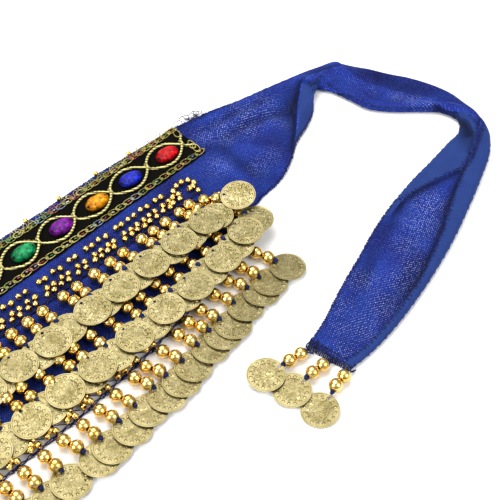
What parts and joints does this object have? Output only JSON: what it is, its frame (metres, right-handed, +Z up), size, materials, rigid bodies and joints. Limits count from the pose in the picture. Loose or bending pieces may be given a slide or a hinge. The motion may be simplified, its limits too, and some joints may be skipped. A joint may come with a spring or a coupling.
{
  "type": "belly dance hip scarf",
  "caption": "Blue belly dance hip scarf laid flat, with a gem band on its waist, tiers of beaded coin fringe and a long tie at each end.",
  "frame": {"origin": "on the surface that the scarf lies on, under the middle of the gem band", "axes": "+X along the gem band to the end that the picture shows, +Y to the waist side, +Z up from the surface"},
  "size_m": [0.9632, 0.2093, 0.0136],
  "materials": {
    "blue_cloth": "cobalt velvet-like knit with fine glints",
    "black_ribbon": "matte woven ribbon",
    "coin_brass": "satin stamped coins",
    "gold_bead": "polished gold plating",
    "gold_cord": "twisted metallic cord",
    "navy_thread": "matte sewing thread",
    "gem_plastic": "faceted and glossy, in five colours"
  },
  "bodies": {
    "root": {"hip_panel": "blue_cloth", "gem_band": "black_ribbon", "upper_fringe": "coin_brass", "middle_fringe": "coin_brass", "hem_fringe": "coin_brass", "right_tie_upper": "blue_cloth", "right_tie_lower": "blue_cloth", "right_tie_fringe": "coin_brass", "left_tie_upper": "blue_cloth", "left_tie_lower": "blue_cloth", "left_tie_fringe": "coin_brass"}
  },
  "joints": []
}
